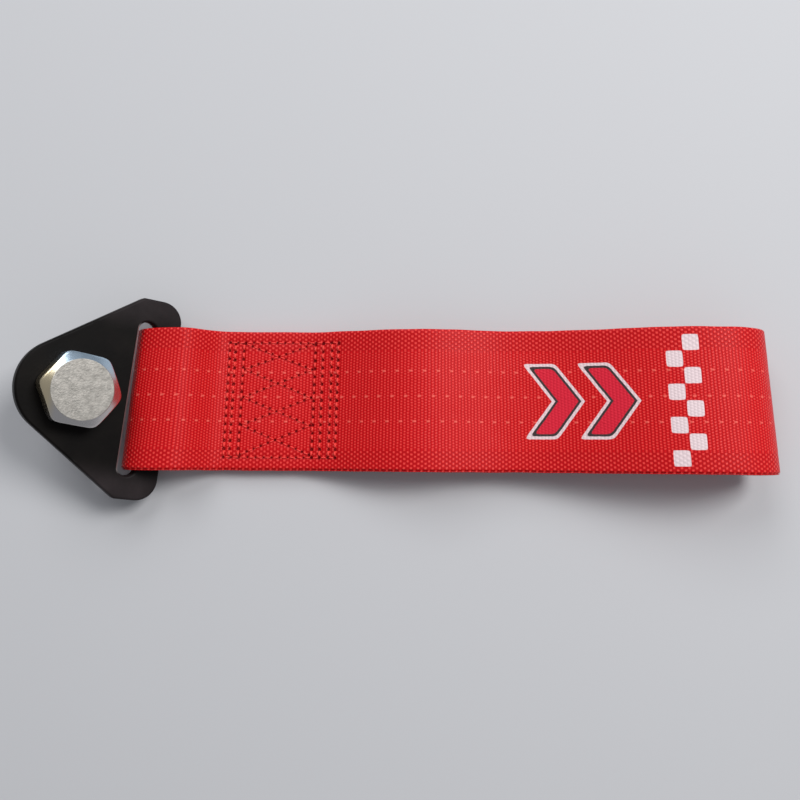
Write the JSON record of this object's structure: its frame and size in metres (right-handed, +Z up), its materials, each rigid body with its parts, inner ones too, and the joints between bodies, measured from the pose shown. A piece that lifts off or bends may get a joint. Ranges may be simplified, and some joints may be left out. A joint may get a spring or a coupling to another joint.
{
  "type": "tow strap",
  "caption": "Short loop of flat webbing sewn into an eye round the slotted bar of a steel plate, with a hexagon bolt through the plate.",
  "frame": {"origin": "middle of the bounding box's underside, on the ground that the strap lies on", "axes": "+X along the strap from the bolt to the loop's end, +Y across the webbing, +Z up"},
  "size_m": [0.261, 0.0714, 0.0393],
  "materials": {
    "webbing": "red woven nylon with a printed stretch near the loop's end",
    "plate": "black paint, satin",
    "bolt": "dull zinc plating"
  },
  "bodies": {
    "strap": {"webbing": "webbing"},
    "plate": {"plate": "plate"},
    "bolt": {"bolt": "bolt"}
  },
  "joints": [
    {"name": "plate_swing", "type": "hinge", "parent": "strap", "child": "plate", "pos_m": [-0.08847, -0.00073, 0.00694], "axis": [0.1305, 0.9914, 0], "range_deg": [-130, 50]},
    {"name": "bolt_turn", "type": "hinge", "parent": "plate", "child": "bolt", "pos_m": [-0.11113, 0.00226, 0.02457], "axis": [0.5352, -0.0705, 0.8418], "continuous": true}
  ]
}
